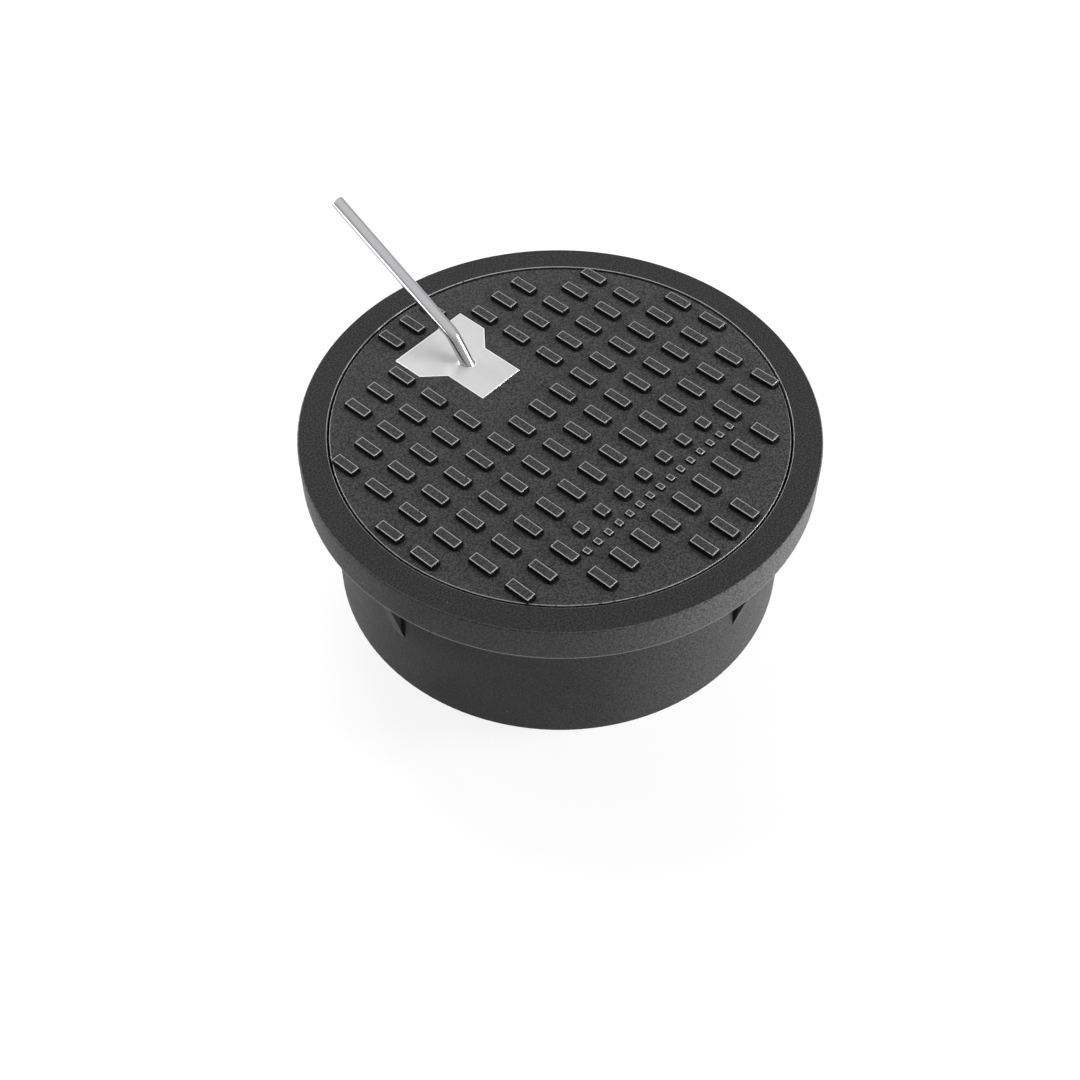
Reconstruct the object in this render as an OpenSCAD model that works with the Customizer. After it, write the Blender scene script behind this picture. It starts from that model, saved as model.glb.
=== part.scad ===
// Round ductile iron manhole cover, seated in its ring frame, with a bent
// lifting key standing in the cover's key socket.
// Origin: centre of the ring's foot. +Z up, +X along the rows of short lug ends,
// +Y from the cover's centre out to the keyhole.

/* [Frame] */
// Diameter of the clear opening through the ring
clear_opening = 554; // [500:1:620]
// Width of the ledge that the cover rests on
seat_w = 25; // [20:0.5:34]
// Width of the top flange, from the rebate to its outer edge
flange_w = 38; // [34:0.5:60]
// Height of the whole ring
frame_h = 260; // [180:1:320]
// Height of the flange's outer side
flange_h = 52; // [44:0.5:70]
// Depth of the rebate, from the flange's top to the ledge
rebate_depth = 25; // [22:0.5:34]
// Overall thickness of the cored ring below the flange
ring_w = 29.5; // [27:0.5:36]
// Wall left on each side of the cored grooves
cast_wall = 9; // [7:0.5:10]
// Thickness of the flange's top and of the ledge
deck_t = 13; // [10:0.5:16]
// Number of webs that tie the two walls of the ring together
web_count = 12; // [8:4:16]
// Thickness of each web
web_t = 10; // [8:0.5:14]
// Number of gussets between the flange and the ring
gusset_count = 4; // [2:1:8]
// Thickness of each gusset
gusset_t = 16; // [12:0.5:26]
// Length of a gusset down the ring, from the flange's underside
gusset_drop = 104; // [50:1:115]
// Reach of a gusset's top out from the ring, under the flange
gusset_reach = 25; // [15:0.5:31]

/* [Cover] */
// Gap all round between the cover's edge and the rebate
edge_gap = 3; // [1.5:0.25:4]
// Thickness of the cover at its bearing rim
edge_t = 24; // [20:0.5:26]
// Thickness of the cover's top plate
plate_t = 10; // [8:0.5:13]
// Width of the bearing rim under the cover's edge
rim_w = 33; // [31:0.5:40]
// Number of radial ribs under the cover
rib_count = 8; // [4:2:12]
// Thickness of each rib
rib_t = 9; // [7:0.5:12]
// Depth of the ribs at the middle, from the top plate's face
rib_depth = 50; // [47:1:60]
// Radius of the solid hub where the ribs meet
hub_r = 34; // [20:1:45]
// Radius of the ring rib
ring_rib_r = 150; // [110:1:190]
// Bevel on the castings' exposed edges
edge_bevel = 2; // [0.5:0.25:3]

/* [Tread] */
// Distance between lug centres across the cover, left to right
lug_pitch_x = 40; // [36:0.5:50]
// Distance between rows of lugs
lug_pitch_y = 60; // [54:0.5:75]
// Width of a lug's top, left to right
lug_w = 13.6; // [10:0.2:18]
// Length of a lug's top
lug_len = 35.6; // [28:0.2:42]
// Height of the lugs
lug_h = 6; // [3:0.25:8]
// Slope of the lugs' sides, as a share of their height
lug_draft = 0.12; // [0.05:0.01:0.3]
// Number of rows of lugs
row_count = 10; // [8:2:10]
// Number of rows from the middle to the marking band
band_row = 2.5; // [0.5:1:2.5]
// Half the width of the marking band
band_half_w = 140; // [100:5:150]
// Length of the short studs in the marking band
stud_len = 17.2; // [10:0.2:20]
// Columns of studs each side of the middle
stud_cols = 3; // [1:1:3]
// Distance between the small pips of the band's lower line
pip_pitch = 20; // [16:0.5:26]
// Width of a pip
pip_w = 8; // [5:0.2:10]
// Length of a pip
pip_len = 10; // [6:0.2:12]
// Height of a pip
pip_h = 3; // [1.5:0.25:4]
// Gap between the line of studs and the line of pips
pip_gap = 14; // [10:0.5:16]
// Pips each side of the middle
pip_cols = 7; // [3:1:7]

/* [Keyhole] */
// Distance from the cover's centre to the keyhole plate's outer edge
keyhole_reach = 240; // [225:0.5:245]
// Length of the keyhole plate, towards the cover's centre
keyhole_len = 136; // [125:0.5:145]
// Width of the plate's head
head_w = 126; // [110:0.5:130]
// Length of the plate's head up to its shoulders
head_len = 46; // [35:0.5:55]
// Width of the plate's neck
neck_w = 72; // [64:0.5:80]
// Thickness of the keyhole plate, which is the depth of its recess
keyhole_t = 8; // [5:0.5:10]
// Gap round the plate in its recess
keyhole_gap = 1.2; // [0.3:0.1:1.5]
// Thickness of iron under and round the recess
pad_t = 9; // [7:0.5:12]

/* [Lifting key] */
// Diameter of the key's round bar
bar_d = 18; // [12:0.5:20]
// Clearance on the radius between the bar and its socket
socket_gap = 0.5; // [0.3:0.1:1]
// Distance from the cover's centre to where the bar enters the plate
foot_reach = 167; // [160:0.5:175]
// Lean of the bar's foot from upright
foot_lean = 36; // [28:0.5:40]
// Length of the bar inside its socket
foot_depth = 40; // [34:0.5:42]
// Length of the bar from the plate to the bend
lower_len = 43.5; // [35:0.5:80]
// Length of the bar from the bend to its free end
upper_len = 235; // [180:1:320]
// Angle of the bend
bend_angle = 26; // [15:0.5:40]
// Radius of the bend at the bar's centre line
bend_r = 30; // [24:1:60]
// Swell of the bar's radius round the bend
bend_swell = 0.06; // [0.04:0.01:0.3]
// Bevel on the bar's ends
bar_bevel = 1.2; // [0.5:0.1:2]
// Radius of the boss under the socket
boss_r = 30; // [28:0.5:34]

/* [Hidden] */
$fn = 96;

bore_r = clear_opening / 2;
rebate_r = bore_r + seat_w;
flange_r = rebate_r + flange_w;
ring_r = bore_r + ring_w;
seat_z = frame_h - rebate_depth;
flange_z = frame_h - flange_h;
web_angle = 360 / web_count;
gusset_angle = 360 / gusset_count;

cover_r = rebate_r - edge_gap;
cover_z = seat_z + edge_t;
rim_in = cover_r - rim_w;
rib_angle = 360 / rib_count;
seat_bevel = edge_bevel / 2;
// Depth that a raised or hanging form is sunk into the casting that carries it
bury = 1;

band_y = -band_row * lug_pitch_y;
stud_y = band_y + (lug_len - stud_len) / 2;
pip_y = stud_y - stud_len / 2 - pip_gap - pip_len / 2;
// Least distance from a lug to the recess or to the band
lug_margin = 4;
last_col = floor(cover_r / lug_pitch_x);

head_y = keyhole_reach - head_len;
shoulder_y = head_y - (head_w - neck_w) / 2;
keyhole_end = keyhole_reach - keyhole_len;
pad_depth = keyhole_t + pad_t;

bar_r = bar_d / 2;
socket_r = bar_r + socket_gap;
bend_cut = bend_r * tan(bend_angle / 2);
// The boss stands under the middle of the leaning socket
boss_y = foot_reach - foot_depth * sin(foot_lean) / 2;

// Section of the solid ring: foot, skirt, flange, rebate and ledge
function ring_section() = [
    [bore_r, 0],
    [ring_r - edge_bevel, 0],
    [ring_r, edge_bevel],
    [ring_r, flange_z],
    [flange_r - seat_bevel, flange_z],
    [flange_r, flange_z + seat_bevel],
    [flange_r, frame_h - edge_bevel],
    [flange_r - edge_bevel, frame_h],
    [rebate_r + seat_bevel, frame_h],
    [rebate_r, frame_h - seat_bevel],
    [rebate_r, seat_z],
    [bore_r + seat_bevel, seat_z],
    [bore_r, seat_z - seat_bevel]
];

// Section of the cover: top plate and bearing rim
function cover_section() = [
    [0, cover_z - plate_t],
    [rim_in, cover_z - plate_t],
    [rim_in + edge_bevel, seat_z],
    [cover_r - seat_bevel, seat_z],
    [cover_r, seat_z + seat_bevel],
    [cover_r, cover_z - seat_bevel],
    [cover_r - seat_bevel, cover_z],
    [0, cover_z]
];

// Outline of the keyhole plate, grown by g: a wide head, 45 degree shoulders
// and a neck that points at the cover's centre
function keyhole_half(g) = [
    [head_w / 2 + g, keyhole_reach + g],
    [head_w / 2 + g, head_y - g * tan(22.5)],
    [neck_w / 2 + g, shoulder_y - g * tan(22.5)],
    [neck_w / 2 + g, keyhole_end - g]
];
function mirrored(points) = [for (i = [len(points) - 1 : -1 : 0]) [-points[i][0], points[i][1]]];
function keyhole_outline(g) = concat(keyhole_half(g), mirrored(keyhole_half(g)));

// Last column whose lug's top still has all four corners on the cover, in the row at y
function outer_col(y) =
    floor((sqrt(pow(cover_r, 2) - pow(abs(y) + lug_len / 2, 2)) - lug_w / 2) / lug_pitch_x);

// First column clear of a form that is 2 * half wide
function clear_col(half) = ceil((half + lug_margin + lug_w / 2) / lug_pitch_x);

function meets_keyhole(y) =
    y + lug_len / 2 + lug_margin > keyhole_end && y - lug_len / 2 - lug_margin < keyhole_reach;

function inner_col(y) =
    meets_keyhole(y) ? clear_col(head_w / 2)
    : y == band_y ? clear_col(band_half_w)
    : 0;

// Each row of lugs as its y, its first column and its last column
tread_rows = [
    for (i = [0 : row_count - 1])
    let (y = (i - (row_count - 1) / 2) * lug_pitch_y)
    [y, inner_col(y), outer_col(y)]
];

module revolved(section) {
    rotate_extrude() polygon(section);
}

// A ring of rectangular section
module hoop(inner, outer, low, high) {
    revolved([[inner, low], [outer, low], [outer, high], [inner, high]]);
}

// A flat plate standing on a radius, with its section drawn as radius and height
module standing_plate(section, thickness) {
    rotate([90, 0, 0])
        translate([0, 0, -thickness / 2])
            linear_extrude(thickness) polygon(section);
}

module ring_web() {
    standing_plate([
        [bore_r + bury, bury],
        [ring_r - bury - edge_bevel, bury],
        [ring_r - bury - edge_bevel, seat_z - bury],
        [bore_r + bury, seat_z - bury]
    ], web_t);
}

module flange_web() {
    standing_plate([
        [ring_r - bury, flange_z + bury],
        [flange_r - bury, flange_z + bury],
        [flange_r - bury, frame_h - deck_t + bury],
        [ring_r - bury, frame_h - deck_t + bury]
    ], web_t);
}

module gusset() {
    standing_plate([
        [ring_r - bury, flange_z - gusset_drop],
        [ring_r, flange_z - gusset_drop],
        [ring_r + gusset_reach, flange_z],
        [ring_r + gusset_reach, flange_z + bury],
        [ring_r - bury, flange_z + bury]
    ], gusset_t);
}

// One casting, cored from below so that every wall is about as thick
module frame() {
    color("#3c3d3f") {
        difference() {
            revolved(ring_section());
            hoop(bore_r + cast_wall, ring_r - cast_wall, -bury, seat_z - deck_t);
            hoop(rebate_r + cast_wall, flange_r - cast_wall, flange_z - bury, frame_h - deck_t);
        }
        for (i = [0 : web_count - 1]) rotate(i * web_angle) {
            ring_web();
            flange_web();
        }
        for (i = [0 : gusset_count - 1]) rotate(i * gusset_angle) gusset();
    }
}

// Section across a ridge: drafted sides, with its foot sunk into the plate
function ridge_section(top_w, h) = [
    [-top_w / 2 - lug_draft * (h + bury), -bury],
    [top_w / 2 + lug_draft * (h + bury), -bury],
    [top_w / 2, h],
    [-top_w / 2, h]
];

// A ridge along X from x0 to x1
module row_ridge(x0, x1, top_w, h) {
    translate([x0, 0, 0])
        rotate([90, 0, 90])
            linear_extrude(x1 - x0) polygon(ridge_section(top_w, h));
}

// A ridge along Y, right across the cover
module column_ridge(top_w, h) {
    rotate([90, 0, 0])
        translate([0, 0, -cover_r])
            linear_extrude(2 * cover_r) polygon(ridge_section(top_w, h));
}

// Raised blocks where rows of ridges cross columns of ridges
module raised_blocks(rows, pitch, cols, top_w, top_len, h) {
    half_cell = pitch / 2;
    intersection() {
        union() for (row = rows) translate([0, row[0], 0])
            if (row[1] == 0) {
                row_ridge(-row[2] * pitch - half_cell, row[2] * pitch + half_cell, top_len, h);
            } else if (row[2] >= row[1]) for (side = [0, 1]) mirror([side, 0, 0]) {
                row_ridge(row[1] * pitch - half_cell, row[2] * pitch + half_cell, top_len, h);
            }
        union() for (c = [-cols : cols]) translate([c * pitch, 0, 0]) column_ridge(top_w, h);
    }
}

module tread() {
    translate([0, 0, cover_z]) {
        // The outermost lugs end at the bevel of the cover's edge
        intersection() {
            raised_blocks(tread_rows, lug_pitch_x, last_col, lug_w, lug_len, lug_h);
            translate([0, 0, -2 * bury]) cylinder(r = cover_r - seat_bevel / 2, h = lug_h + 3 * bury);
        }
        raised_blocks([[stud_y, 0, stud_cols]], lug_pitch_x, stud_cols, lug_w, stud_len, lug_h);
        raised_blocks([[pip_y, 0, pip_cols]], pip_pitch, pip_cols, pip_w, pip_len, pip_h);
    }
}

module rib() {
    standing_plate([
        [0, cover_z - rib_depth],
        [hub_r, cover_z - rib_depth],
        [rim_in + bury, seat_z],
        [rim_in + bury, cover_z - plate_t + bury],
        [0, cover_z - plate_t + bury]
    ], rib_t);
}

module underside() {
    rib_top = cover_z - plate_t + bury;
    // The ring rib is as deep as the radial ribs are where they cross it
    ring_share = (ring_rib_r - hub_r) / (rim_in - hub_r);
    ring_depth = rib_depth + (edge_t - rib_depth) * ring_share;
    for (i = [0 : rib_count - 1]) rotate(i * rib_angle) rib();
    hoop(ring_rib_r - rib_t / 2, ring_rib_r + rib_t / 2, cover_z - ring_depth, rib_top);
    translate([0, 0, cover_z - rib_depth]) cylinder(r = hub_r, h = rib_depth - plate_t + bury);
    translate([0, boss_y, cover_z - rib_depth]) cylinder(r = boss_r, h = rib_depth - plate_t + bury);
    translate([0, 0, cover_z - pad_depth])
        linear_extrude(pad_depth - plate_t + bury) polygon(keyhole_outline(pad_t));
}

// Places children at the mouth of the socket, with +Z up along the leaning bar
module at_socket() {
    translate([0, foot_reach, cover_z]) rotate([-foot_lean, 0, 0]) children();
}

// The hole that the bar's foot stands in, open well above the plate
module socket() {
    at_socket() translate([0, 0, -foot_depth]) cylinder(r = socket_r, h = foot_depth + bar_d * 2);
}

module cover() {
    color("#414244") difference() {
        union() {
            revolved(cover_section());
            tread();
            underside();
        }
        translate([0, 0, cover_z - keyhole_t])
            linear_extrude(keyhole_t + bury) polygon(keyhole_outline(keyhole_gap));
        socket();
    }
}

module keyhole_plate() {
    color("#c9cbcd") difference() {
        translate([0, 0, cover_z - keyhole_t]) linear_extrude(keyhole_t) polygon(keyhole_outline(0));
        socket();
    }
}

// A length of the bar that laps into the bend at the origin and ends in a bevel
module bar_leg(length) {
    translate([0, 0, -bury]) cylinder(r = bar_r, h = length - bar_bevel + bury);
    translate([0, 0, length - bar_bevel]) cylinder(r1 = bar_r, r2 = bar_r - bar_bevel, h = bar_bevel);
}

module lifting_key() {
    below = foot_depth + lower_len - bend_cut;
    color("#b4b7ba") at_socket() translate([0, 0, lower_len - bend_cut]) {
        mirror([0, 0, 1]) bar_leg(below);
        translate([0, bend_r, 0])
            rotate([90, 0, -90])
                rotate_extrude(angle = bend_angle) translate([bend_r, 0]) circle(r = bar_r + bend_swell);
        translate([0, bend_r * (1 - cos(bend_angle)), bend_r * sin(bend_angle)])
            rotate([-bend_angle, 0, 0]) bar_leg(upper_len - bend_cut);
    }
}

frame();
cover();
keyhole_plate();
lifting_key();
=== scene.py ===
from math import atan2, cos, hypot, radians, sin, tan

import bmesh
import bpy
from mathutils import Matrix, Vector


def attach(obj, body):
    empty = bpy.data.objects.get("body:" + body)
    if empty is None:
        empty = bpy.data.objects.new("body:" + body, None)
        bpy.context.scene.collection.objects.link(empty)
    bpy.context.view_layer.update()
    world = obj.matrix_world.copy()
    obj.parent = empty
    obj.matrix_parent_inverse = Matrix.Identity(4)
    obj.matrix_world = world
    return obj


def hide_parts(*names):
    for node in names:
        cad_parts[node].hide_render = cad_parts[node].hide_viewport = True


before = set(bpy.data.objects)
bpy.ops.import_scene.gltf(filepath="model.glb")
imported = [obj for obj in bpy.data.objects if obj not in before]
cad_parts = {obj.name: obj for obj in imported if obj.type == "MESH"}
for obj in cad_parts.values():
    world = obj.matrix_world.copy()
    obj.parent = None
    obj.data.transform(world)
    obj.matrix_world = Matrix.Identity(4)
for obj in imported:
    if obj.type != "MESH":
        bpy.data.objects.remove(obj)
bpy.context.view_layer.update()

# Ductile iron manhole cover, seated in its ring, with its keyhole plate and lifting key.
# Lengths are in metres unless a name or a note says millimetres.
mm = 0.001


def hexToLinear(code):
    shades = [int(code[i:i + 2], 16) / 255 for i in (1, 3, 5)]
    return [s / 12.92 if s <= 0.04045 else ((s + 0.055) / 1.055) ** 2.4 for s in shades] + [1]


def addNode(tree, kind, inputs=None, **settings):
    # inputs maps a socket's name or number to a value, or to the socket that feeds it
    node = tree.nodes.new(kind)
    for name, value in settings.items():
        setattr(node, name, value)
    for name, value in (inputs or {}).items():
        if isinstance(value, bpy.types.NodeSocket):
            tree.links.new(value, node.inputs[name])
        else:
            node.inputs[name].default_value = value
    return node


def newMaterial(name):
    material = bpy.data.materials.new(name)
    material.use_nodes = True
    material.node_tree.nodes.clear()
    return material, material.node_tree


# Ductile iron, sand cast, then dipped in black bitumen paint. The sand leaves
# an even fine grain that the thin paint doesn't hide. The paint is dark grey and half matt,
# rougher near corners, where its colour is darkened as painted shade, and is rubbed through
# on every edge, which also makes a painted highlight there.
iron = {
    "grain": 2.3 * mm,        # real moulding sand is 0.3 mm, drawn coarser so that it shows
    "grainHeight": 0.35 * mm,
    "patch": 70 * mm,         # how far the dip coat's tone wanders
    "rub": 9 * mm,            # size of the rubbed places along an edge
    "corner": 9 * mm,         # how far from a corner the painted shade reaches
    "cornerShut": 0.72,       # openness at which a corner is at its darkest
    "cornerOpen": 0.87,       # and at which it has no more effect
    "cornerPaintedShade": 0.04,
}


def castIron(name, light, dark, bare, rubbed, rough, shine):
    # light and dark are the paint's two tones, bare the iron's own, and rubbed is the share
    # of the surface where the paint is worn through to it
    material, tree = newMaterial(name)
    place = addNode(tree, "ShaderNodeTexCoord").outputs["Object"]
    sand = addNode(tree, "ShaderNodeTexNoise", {
        "Vector": place, "Scale": 1 / iron["grain"], "Detail": 2, "Roughness": 0.6}).outputs["Fac"]
    coat = addNode(tree, "ShaderNodeTexNoise", {
        "Vector": place, "Scale": 1 / iron["patch"], "Detail": 4, "Roughness": 0.55}).outputs["Fac"]
    rub = addNode(tree, "ShaderNodeTexNoise", {
        "Vector": place, "Scale": 1 / iron["rub"], "Detail": 5, "Roughness": 0.65}).outputs["Fac"]
    grainTone = addNode(tree, "ShaderNodeMapRange", {
        "Value": sand, "From Min": 0.36, "From Max": 0.64}, interpolation_type="SMOOTHSTEP").outputs[0]
    painted = addNode(tree, "ShaderNodeMix", {
        0: grainTone, 6: hexToLinear(dark), 7: hexToLinear(light)}, data_type="RGBA").outputs[2]
    coatTone = addNode(tree, "ShaderNodeMapRange", {
        "Value": coat, "From Min": 0.3, "From Max": 0.7, "To Min": 0.88, "To Max": 1.1}).outputs[0]
    coated = addNode(tree, "ShaderNodeMix", {
        0: 1.0, 6: painted, 7: coatTone}, data_type="RGBA", blend_type="MULTIPLY").outputs[2]
    # Painted shade: the colour is darkened near corners, where shade falls, and the surface is made rougher there
    openness = addNode(tree, "ShaderNodeAmbientOcclusion", {
        "Distance": iron["corner"]}, samples=8, only_local=True).outputs["AO"]
    cornerPaintedShade = addNode(tree, "ShaderNodeMapRange", {
        "Value": openness, "From Min": iron["cornerShut"], "From Max": iron["cornerOpen"],
        "To Min": iron["cornerPaintedShade"], "To Max": 1.0}).outputs[0]
    coated = addNode(tree, "ShaderNodeMix", {
        0: 1.0, 6: coated, 7: cornerPaintedShade}, data_type="RGBA", blend_type="MULTIPLY").outputs[2]
    worn = addNode(tree, "ShaderNodeMapRange", {
        "Value": rub, "From Min": 0.72 - 0.42 * rubbed, "From Max": 0.80 - 0.42 * rubbed},
        interpolation_type="SMOOTHSTEP").outputs[0]
    colour = addNode(tree, "ShaderNodeMix", {
        0: worn, 6: coated, 7: hexToLinear(bare)}, data_type="RGBA").outputs[2]
    metal = addNode(tree, "ShaderNodeMath", {0: worn, 1: 0.7}, operation="MULTIPLY").outputs[0]
    gloss = addNode(tree, "ShaderNodeMapRange", {
        "Value": coat, "From Min": 0.3, "From Max": 0.7, "To Min": rough - 0.05,
        "To Max": rough + 0.07}).outputs[0]
    grain = addNode(tree, "ShaderNodeBump", {
        "Height": sand, "Strength": 0.6, "Distance": iron["grainHeight"]}).outputs[0]
    dulled = addNode(tree, "ShaderNodeMapRange", {
        "Value": openness, "From Min": iron["cornerShut"], "From Max": iron["cornerOpen"],
        "To Min": 1.0, "To Max": gloss}).outputs[0]
    shader = addNode(tree, "ShaderNodeBsdfPrincipled", {
        "Base Color": colour, "Metallic": metal, "Roughness": dulled, "Specular IOR Level": shine,
        "Normal": grain})
    addNode(tree, "ShaderNodeOutputMaterial", {"Surface": shader.outputs[0]})
    return material


# Walls and decks; edges rubbed by feet and wheels, and edges knocked in handling, both also a painted
# highlight; the flange's side, painted lighter: painted light; the ring's top, painted darker:
# painted shade; and the lugs' sloped sides, painted near black: painted shade
dippedIron = castIron("bitumenDippedIron", "#4f4f4f", "#262626", "#8d8d8d", 0.05, 0.6, 0.25)
rubbedEdgeAndHighlight = castIron("rubbedIronEdgeAndHighlight", "#6a6a6a", "#474747", "#b0b0b0", 0.95, 0.45, 0.5)
dulledEdgeAndHighlight = castIron("dulledIronEdgeAndHighlight", "#5c5c5c", "#3e3e3e", "#7c7c7c", 0.95, 0.5, 0.4)
flangeSidePaintedLight = castIron("paintedLightFlangeSide", "#666666", "#383838", "#8d8d8d", 0.1, 0.55, 0.25)
ringTopPaintedShade = castIron("paintedShadeRingTop", "#3d3d3d", "#1a1a1a", "#7c7c7c", 0.06, 0.6, 0.22)
lugFlankPaintedShade = castIron("paintedShadeLugFlank", "#171717", "#0c0c0c", "#6a6a6a", 0.0, 0.75, 0.15)
print("iron materials made")


def zincPlatedSteel(name, light, dark, rough, metal):
    # Flat bar stock, zinc plated: pale satin grey, slightly cloudy, with faint rolling lines
    material, tree = newMaterial(name)
    place = addNode(tree, "ShaderNodeTexCoord").outputs["Object"]
    cloud = addNode(tree, "ShaderNodeTexNoise", {
        "Vector": place, "Scale": 1 / (14 * mm), "Detail": 4, "Roughness": 0.6}).outputs["Fac"]
    along = addNode(tree, "ShaderNodeMapping", {"Vector": place, "Scale": (1, 0.03, 1)}).outputs[0]
    lines = addNode(tree, "ShaderNodeTexNoise", {
        "Vector": along, "Scale": 1 / (0.9 * mm), "Detail": 2}).outputs["Fac"]
    tone = addNode(tree, "ShaderNodeMix", {
        0: cloud, 6: hexToLinear(dark), 7: hexToLinear(light)}, data_type="RGBA").outputs[2]
    gloss = addNode(tree, "ShaderNodeMapRange", {
        "Value": lines, "From Min": 0.3, "From Max": 0.7, "To Min": rough - 0.05,
        "To Max": rough + 0.05}).outputs[0]
    rolled = addNode(tree, "ShaderNodeBump", {
        "Height": lines, "Strength": 0.15, "Distance": 0.05 * mm}).outputs[0]
    shader = addNode(tree, "ShaderNodeBsdfPrincipled", {
        "Base Color": tone, "Metallic": metal, "Roughness": gloss, "Normal": rolled})
    addNode(tree, "ShaderNodeOutputMaterial", {"Surface": shader.outputs[0]})
    return material


def drawnSteelBar():
    # Bright drawn bar: smooth and shiny, with fine lines left along it by the die
    material, tree = newMaterial("brightDrawnBar")
    path = addNode(tree, "ShaderNodeAttribute", attribute_name="drawnPath").outputs["Vector"]
    along = addNode(tree, "ShaderNodeMapping", {"Vector": path, "Scale": (1, 1, 0.004)}).outputs[0]
    lines = addNode(tree, "ShaderNodeTexNoise", {
        "Vector": along, "Scale": 1 / (0.8 * mm), "Detail": 3, "Roughness": 0.6}).outputs["Fac"]
    tone = addNode(tree, "ShaderNodeMix", {
        0: lines, 6: hexToLinear("#b0b0b2"), 7: hexToLinear("#c8c8ca")}, data_type="RGBA").outputs[2]
    gloss = addNode(tree, "ShaderNodeMapRange", {
        "Value": lines, "From Min": 0.3, "From Max": 0.7, "To Min": 0.15, "To Max": 0.21}).outputs[0]
    drawn = addNode(tree, "ShaderNodeBump", {
        "Height": lines, "Strength": 0.04, "Distance": 0.02 * mm}).outputs[0]
    shader = addNode(tree, "ShaderNodeBsdfPrincipled", {
        "Base Color": tone, "Metallic": 1.0, "Roughness": gloss, "Normal": drawn})
    addNode(tree, "ShaderNodeOutputMaterial", {"Surface": shader.outputs[0]})
    return material


platedSteel = zincPlatedSteel("zincPlatedSteel", "#dedede", "#d2d2d2", 0.35, 0.5)
# The plate's edges are painted near white all round: a painted highlight
plateEdgeHighlight = zincPlatedSteel("paintedHighlightPlateEdge", "#fafafa", "#f4f4f4", 0.32, 1.0)
drawnBar = drawnSteelBar()
print("steel materials made")


def deselectAll():
    if bpy.context.mode != "OBJECT":
        bpy.ops.object.mode_set(mode="OBJECT")
    bpy.ops.object.select_all(action="DESELECT")


def startEditing(piece, pick="VERT"):
    deselectAll()
    bpy.context.view_layer.objects.active = piece
    piece.select_set(True)
    bpy.ops.object.mode_set(mode="EDIT")
    bpy.ops.mesh.select_mode(type=pick)


def copyOfNode(node, name):
    # The casting's own form, its loose triangles merged into whole flat faces
    piece = bpy.data.objects.new(name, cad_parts[node].data.copy())
    bpy.context.scene.collection.objects.link(piece)
    piece.data.materials.clear()
    startEditing(piece)
    bpy.ops.mesh.select_all(action="SELECT")
    bpy.ops.mesh.customdata_custom_splitnormals_clear()
    bpy.ops.mesh.remove_doubles(threshold=0.004 * mm)
    bpy.ops.mesh.dissolve_limited(angle_limit=radians(0.6))
    bpy.ops.object.mode_set(mode="OBJECT")
    return piece


def selectEdges(piece, wanted):
    # wanted(edge) is asked of each sharp edge that stands out
    startEditing(piece, "EDGE")
    bpy.ops.mesh.select_all(action="DESELECT")
    mesh = bmesh.from_edit_mesh(piece.data)
    for edge in mesh.edges:
        if len(edge.link_faces) == 2 and edge.is_convex and edge.calc_face_angle(0) > radians(40) and wanted(edge):
            edge.select_set(True)
    mesh.select_flush_mode()
    bmesh.update_edit_mesh(piece.data)


def roundEdges(piece, wanted, width):
    selectEdges(piece, wanted)
    bpy.ops.mesh.bevel(offset=width, segments=2, profile=0.6, clamp_overlap=True)
    bpy.ops.object.mode_set(mode="OBJECT")


def finishSurface(piece):
    # Flat faces stay flat, and round walls and small bevels are smooth
    deselectAll()
    bpy.context.view_layer.objects.active = piece
    piece.select_set(True)
    bpy.ops.object.shade_smooth_by_angle(angle=radians(50))
    bpy.ops.object.modifier_add(type="WEIGHTED_NORMAL")
    piece.modifiers[-1].keep_sharp = True
    bpy.ops.object.modifier_apply(modifier=piece.modifiers[-1].name)


def rimFaces(piece, wanted, width):
    # A narrow border round each wanted flat face, for a bright edge, which is a painted highlight and on the iron
    # also paint rubbed off
    startEditing(piece, "FACE")
    bpy.ops.mesh.select_all(action="DESELECT")
    mesh = bmesh.from_edit_mesh(piece.data)
    for face in mesh.faces:
        if wanted(face):
            face.select_set(True)
    bmesh.update_edit_mesh(piece.data)
    bpy.ops.mesh.inset(thickness=width, use_boundary=True)
    bpy.ops.object.mode_set(mode="OBJECT")


def paintFaces(piece, materials, choose):
    # choose(face) gives the material of that face
    for material in materials:
        piece.data.materials.append(material)
    for face in piece.data.polygons:
        face.material_index = materials.index(choose(face))


def handOver(piece, node):
    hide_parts(node)
    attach(piece, "root")


# The cover: its sizes, and the bright edges of its lugs, rubbed and with a painted highlight
cover = {
    "deck": 259 * mm,         # height of the deck above the foot
    "edge": 299 * mm,         # radius
    "lugHeight": 6 * mm,
    "pipHeight": 3 * mm,
    "lugEdge": 0.4 * mm,      # rounding of a lug's upper edges
    "rim": 0.8 * mm,          # width of the bright border of a lug's top: rubbed paint and a painted highlight
    "rimArea": 33 * mm * mm,  # a top face smaller than this belongs to such a border
}


def isRaised(point):
    return point.z > cover["deck"] + 0.5 * mm


def coverFace(face):
    centre, normal = face.center, face.normal
    radius = hypot(centre.x, centre.y)
    # Lug tops' borders and upper edges are bright, rubbed paint and a painted highlight; lug sides are painted
    # near black as painted shade
    if centre.z > cover["deck"] + 0.1 * mm:
        if normal.z > 0.985:
            return rubbedEdgeAndHighlight if face.area < cover["rimArea"] else dippedIron
        nearTop = centre.z > cover["deck"] + cover["lugHeight"] - cover["lugEdge"]
        nearPipTop = abs(centre.z - cover["deck"] - cover["pipHeight"]) < cover["lugEdge"]
        return rubbedEdgeAndHighlight if nearTop or (nearPipTop and normal.z > 0.3) else lugFlankPaintedShade
    # The cover's edge chamfer is bright: rubbed paint and a painted highlight
    if radius > cover["edge"] - 1.2 * mm and 0.3 < normal.z < 0.95:
        return rubbedEdgeAndHighlight
    return dippedIron


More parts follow.
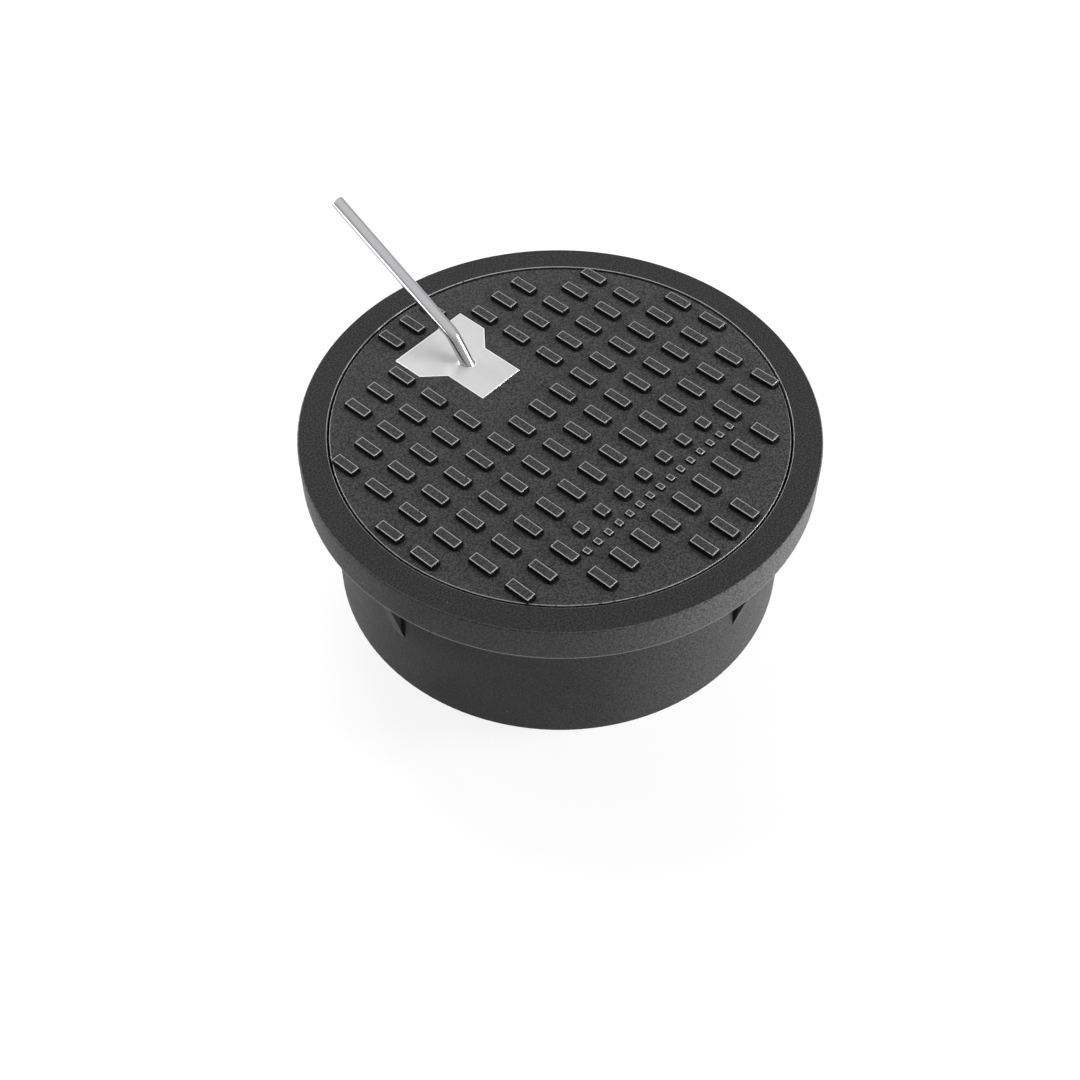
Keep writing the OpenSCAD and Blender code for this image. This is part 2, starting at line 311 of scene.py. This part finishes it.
coverPiece = copyOfNode("cover", "coverCasting")
roundEdges(coverPiece, lambda edge: all(isRaised(v.co) for v in edge.verts), cover["lugEdge"])
rimFaces(coverPiece, lambda face: face.normal.z > 0.999 and isRaised(face.calc_center_median()), cover["rim"])
paintFaces(coverPiece, [dippedIron, rubbedEdgeAndHighlight, lugFlankPaintedShade], coverFace)
finishSurface(coverPiece)
handOver(coverPiece, "cover")
print("cover finished", len(coverPiece.data.polygons))


# The ring frame: heights above the foot, and radii
ring = {
    "top": 260 * mm,
    "flangeFoot": 208 * mm,
    "seat": 235 * mm,
    "flange": 340 * mm,
    "rebate": 302 * mm,
    "skirt": 306.5 * mm,
    "chamfer": 2.2 * mm,      # a face this near a corner is its chamfer
    "footLine": 2.8 * mm,     # the strip at the foot of the flange's side painted bright: a painted highlight
}


def ringFace(face):
    centre = face.center
    radius = hypot(centre.x, centre.y)
    onChamfer = 0.3 < abs(face.normal.z) < 0.95
    # The flange's side is painted lighter as painted light, with a bright strip at its foot as a painted
    # highlight; the ring's top is painted darker as painted shade
    if radius > ring["flange"] - ring["chamfer"]:
        return dulledEdgeAndHighlight if centre.z < ring["flangeFoot"] + ring["footLine"] else flangeSidePaintedLight
    if centre.z > ring["top"] - 1e-3 * mm:
        return ringTopPaintedShade
    if onChamfer and centre.z > ring["top"] - ring["chamfer"]:
        return rubbedEdgeAndHighlight
    if onChamfer and radius < ring["rebate"] and centre.z > ring["seat"] - ring["chamfer"]:
        return rubbedEdgeAndHighlight
    if onChamfer and centre.z < ring["chamfer"] and radius > ring["skirt"] - 3 * mm:
        return dulledEdgeAndHighlight
    return dippedIron


ringPiece = copyOfNode("frame", "ringCasting")
# The flange's side is cut along the upper edge of the painted highlight strip at its foot
startEditing(ringPiece)
bpy.ops.mesh.select_all(action="SELECT")
bpy.ops.mesh.bisect(plane_co=(0, 0, ring["flangeFoot"] + ring["footLine"]), plane_no=(0, 0, 1))
bpy.ops.object.mode_set(mode="OBJECT")
paintFaces(ringPiece, [dippedIron, rubbedEdgeAndHighlight, dulledEdgeAndHighlight, flangeSidePaintedLight, ringTopPaintedShade], ringFace)
finishSurface(ringPiece)
handOver(ringPiece, "frame")
print("ring finished", len(ringPiece.data.polygons))


# The keyhole plate
plate = {
    "top": 259 * mm,
    "edge": 0.3 * mm,            # rounding of its upper edges
    "rim": 1.6 * mm,             # width of the bright border, a painted highlight
    "rimArea": 1e3 * mm * mm,    # a face smaller than this is part of that border
}


def plateFace(face):
    # The border faces round the plate's top get the near-white painted highlight
    return plateEdgeHighlight if face.normal.z > 0.3 and face.area < plate["rimArea"] else platedSteel


platePiece = copyOfNode("keyhole_plate", "keyholePlate")
roundEdges(platePiece, lambda edge: all(v.co.z > plate["top"] - 0.1 * mm for v in edge.verts), plate["edge"])
rimFaces(platePiece, lambda face: face.normal.z > 0.999 and face.calc_area() > plate["rimArea"], plate["rim"])
paintFaces(platePiece, [platedSteel, plateEdgeHighlight], plateFace)
finishSurface(platePiece)
handOver(platePiece, "keyhole_plate")
print("keyhole plate finished")


# The lifting key: one round bar with a bend, its foot in the socket
key = {
    "radius": 9 * mm,
    "bevel": 1.2 * mm,
    "mouth": Vector((0, 167 * mm, 259 * mm)),    # where its centre line meets the plate
    "lean": radians(36),                         # from upright, outwards
    "depth": 40 * mm,                            # length in the socket
    "lower": 43.5 * mm,                          # length from the plate to the bend's corner
    "upper": 235 * mm,                           # and from there to the end
    "bend": radians(26),
    "bendRadius": 30 * mm,
    "sides": 48,
}


def barPoint(point):
    # Where a point lies on the bar: across, outwards and along, for the die's lines
    start, axis, outward, centre = key["start"], key["axis"], key["outward"], key["centre"]
    if (point - start).dot(axis) <= 0:
        along = (point - start).dot(axis)
        out = (point - start - axis * along).dot(outward)
        return point.x, out, along
    arm = point - centre
    turned = atan2(arm.dot(axis), -arm.dot(outward))
    if turned < key["bend"]:
        return point.x, key["bendRadius"] - hypot(arm.y, arm.z), turned * key["bendRadius"]
    endAxis, endOut, end = key["endAxis"], key["endOut"], key["end"]
    along = (point - end).dot(endAxis)
    return point.x, (point - end - endAxis * along).dot(endOut), along + key["bend"] * key["bendRadius"]


def bendBar():
    lean, bend, size = key["lean"], key["bend"], key["bendRadius"]
    cut = size * tan(bend / 2)
    axis = Vector((0, sin(lean), cos(lean)))
    outward = Vector((0, cos(lean), -sin(lean)))
    start = key["mouth"] + axis * (key["lower"] - cut)
    centre = start + outward * size
    endAxis = Vector((0, sin(lean + bend), cos(lean + bend)))
    endOut = Vector((0, cos(lean + bend), -sin(lean + bend)))
    end = centre - endOut * size
    key.update(start=start, axis=axis, outward=outward, centre=centre, endAxis=endAxis, endOut=endOut, end=end)

    foot = key["mouth"] - axis * key["depth"]
    top = end + endAxis * (key["upper"] - cut)
    small = (key["radius"] - key["bevel"]) / key["radius"]
    deselectAll()
    bpy.ops.mesh.primitive_circle_add(
        vertices=key["sides"], radius=key["radius"], fill_type="NGON",
        location=foot + axis * key["bevel"], rotation=(-lean, 0, 0))
    bar = bpy.context.object
    bar.name = "liftingKeyBar"
    bpy.ops.object.transform_apply(location=True, rotation=True, scale=True)
    startEditing(bar, "FACE")
    bpy.ops.mesh.select_all(action="SELECT")
    # The foot's bevel, then back up from the full round
    bpy.ops.mesh.extrude_region_move(TRANSFORM_OT_translate={"value": -axis * key["bevel"]})
    bpy.ops.transform.resize(value=(small, small, small), center_override=foot)
    bpy.ops.object.mode_set(mode="OBJECT")
    # The first ring's face is gone, so its open edge is picked and drawn up the bar
    startEditing(bar, "VERT")
    bpy.ops.mesh.select_all(action="DESELECT")
    mesh = bmesh.from_edit_mesh(bar.data)
    for vertex in mesh.verts:
        vertex.select_set((vertex.co - foot).dot(axis) > 0.5 * key["bevel"])
    mesh.select_flush_mode()
    bmesh.update_edit_mesh(bar.data)
    bpy.ops.mesh.extrude_region_move(TRANSFORM_OT_translate={"value": start - foot - axis * key["bevel"]})
    bpy.ops.mesh.spin(steps=8, angle=bend, center=centre, axis=(1, 0, 0))
    bpy.ops.mesh.extrude_region_move(TRANSFORM_OT_translate={"value": top - end - endAxis * key["bevel"]})
    bpy.ops.mesh.extrude_region_move(TRANSFORM_OT_translate={"value": endAxis * key["bevel"]})
    bpy.ops.transform.resize(value=(small, small, small), center_override=top)
    bpy.ops.mesh.edge_face_add()
    bpy.ops.mesh.select_all(action="SELECT")
    bpy.ops.mesh.remove_doubles(threshold=0.01 * mm)
    bpy.ops.mesh.normals_make_consistent(inside=False)
    bpy.ops.object.mode_set(mode="OBJECT")
    return bar


barPiece = bendBar()
drawnPath = barPiece.data.attributes.new("drawnPath", "FLOAT_VECTOR", "POINT")
for vertex in barPiece.data.vertices:
    drawnPath.data[vertex.index].vector = barPoint(vertex.co)
paintFaces(barPiece, [drawnBar], lambda face: drawnBar)
finishSurface(barPiece)
handOver(barPiece, "lifting_key")
print("lifting key finished", len(barPiece.data.vertices))


# The studio
studio = {
    "backdrop": "#ffffff",
    "floorGlow": 0.85,      # the floor's own white by the object, which the lamps bring up to full
    "shadowDepth": 0.22,    # the floor's colour under the lamps, and so how deep a shadow is
    "skyLevel": 0.14,       # light from the sky on the object
    "horizonLevel": 0.5,    # how white the ceiling's reflection is low down
    "aim": Vector((0, 0, 0.2)),
}
towardsCamera = Vector((-0.743, -0.670, 0))
toTheRight = Vector((0.670, -0.743, 0))


def seenWhite(tree):
    # The rays that see the backdrop as white: the camera's, and those mirrored or let through
    path = addNode(tree, "ShaderNodeLightPath")
    seen = addNode(tree, "ShaderNodeMath", {
        0: path.outputs["Is Camera Ray"], 1: path.outputs["Is Glossy Ray"]},
        operation="MAXIMUM").outputs[0]
    seen = addNode(tree, "ShaderNodeMath", {
        0: seen, 1: path.outputs["Is Transmission Ray"]}, operation="MAXIMUM").outputs[0]
    return seen, path.outputs["Is Glossy Ray"]


def paleFloor():
    # White to the camera and in reflections, lit enough to take the object's shadow
    material, tree = newMaterial("paleStudioFloor")
    seen, glossy = seenWhite(tree)
    place = addNode(tree, "ShaderNodeTexCoord").outputs["Object"]
    radius = addNode(tree, "ShaderNodeVectorMath", {0: place}, operation="LENGTH").outputs["Value"]
    far = addNode(tree, "ShaderNodeMapRange", {
        "Value": radius, "From Min": 0.7, "From Max": 2.5, "To Min": studio["floorGlow"],
        "To Max": 1.0}, interpolation_type="SMOOTHSTEP").outputs[0]
    glow = addNode(tree, "ShaderNodeMath", {0: seen, 1: far}, operation="MULTIPLY").outputs[0]
    matt = addNode(tree, "ShaderNodeBsdfDiffuse", {"Color": (studio["shadowDepth"],) * 3 + (1,)})
    light = addNode(tree, "ShaderNodeEmission", {
        "Color": hexToLinear(studio["backdrop"]), "Strength": glow})
    both = addNode(tree, "ShaderNodeAddShader", {0: matt.outputs[0], 1: light.outputs[0]})
    addNode(tree, "ShaderNodeOutputMaterial", {"Surface": both.outputs[0]})
    return material


deselectAll()
bpy.ops.mesh.primitive_plane_add(size=30)
floor = bpy.context.object
floor.name = "studioFloor"
floor.data.materials.append(paleFloor())

world = bpy.data.worlds.new("studioSky")
bpy.context.scene.world = world
world.use_nodes = True
sky = world.node_tree
sky.nodes.clear()
seen, glossy = seenWhite(sky)
# Reflections see a white ceiling that dims towards the horizon, as in a studio
direction = addNode(sky, "ShaderNodeTexCoord").outputs["Generated"]
height = addNode(sky, "ShaderNodeSeparateXYZ", {0: direction}).outputs["Z"]
ceiling = addNode(sky, "ShaderNodeMapRange", {
    "Value": height, "From Min": 0.05, "From Max": 0.8, "To Min": studio["horizonLevel"],
    "To Max": 1.0}, interpolation_type="SMOOTHSTEP").outputs[0]
dimming = addNode(sky, "ShaderNodeMath", {0: 1.0, 1: ceiling}, operation="SUBTRACT").outputs[0]
dimmed = addNode(sky, "ShaderNodeMath", {0: glossy, 1: dimming}, operation="MULTIPLY").outputs[0]
white = addNode(sky, "ShaderNodeMath", {0: 1.0, 1: dimmed}, operation="SUBTRACT").outputs[0]
level = addNode(sky, "ShaderNodeMapRange", {
    "Value": seen, "To Min": studio["skyLevel"], "To Max": white}).outputs[0]
backdrop = addNode(sky, "ShaderNodeBackground", {
    "Color": hexToLinear(studio["backdrop"]), "Strength": level})
addNode(sky, "ShaderNodeOutputWorld", {"Surface": backdrop.outputs[0]})


def softbox(name, right, forward, up, width, height, watts, mirrored=True, lighting=True):
    # Its place is given as metres to the right, towards the camera and up
    place = toTheRight * right + towardsCamera * forward + Vector((0, 0, up))
    lamp = bpy.data.lights.new(name, "AREA")
    lamp.shape = "RECTANGLE"
    lamp.size, lamp.size_y, lamp.energy = width, height, watts
    holder = bpy.data.objects.new(name, lamp)
    holder.location = place
    holder.rotation_euler = (studio["aim"] - place).to_track_quat("-Z", "Y").to_euler()
    holder.visible_glossy = mirrored
    holder.visible_diffuse = lighting
    holder.visible_camera = False
    bpy.context.scene.collection.objects.link(holder)


# The main one stands high behind the object and throws the lugs' short shadows forwards
softbox("backSoftbox", -0.8, -1.3, 2.2, 0.8, 0.8, 34, mirrored=False)
softbox("rightSoftbox", 2.0, 0.1, 0.6, 0.65, 1.2, 50)
softbox("leftSoftbox", -1.8, -1.1, 0.6, 1.0, 1.2, 27)
softbox("frontSoftbox", 1.7, 1.5, 0.6, 1.2, 0.8, 15, mirrored=False)
# A small low one whose reflection is the bright strip along the key
softbox("keyStripBox", -0.98, 0.22, 0.14, 0.42, 0.22, 1.3, lighting=False)

# Fitted to the photograph's lugs and circles
camera = bpy.data.cameras.new("photoCamera")
camera.lens = 54.38
camera.sensor_width = 36
viewer = bpy.data.objects.new("photoCamera", camera)
viewer.location = (-1.105, -0.9617, 1.7966)
viewer.rotation_euler = (radians(39.48), 0, radians(-47.95))
bpy.context.scene.collection.objects.link(viewer)
bpy.context.scene.camera = viewer

bpy.context.scene.view_settings.view_transform = "Standard"
print("studio set")
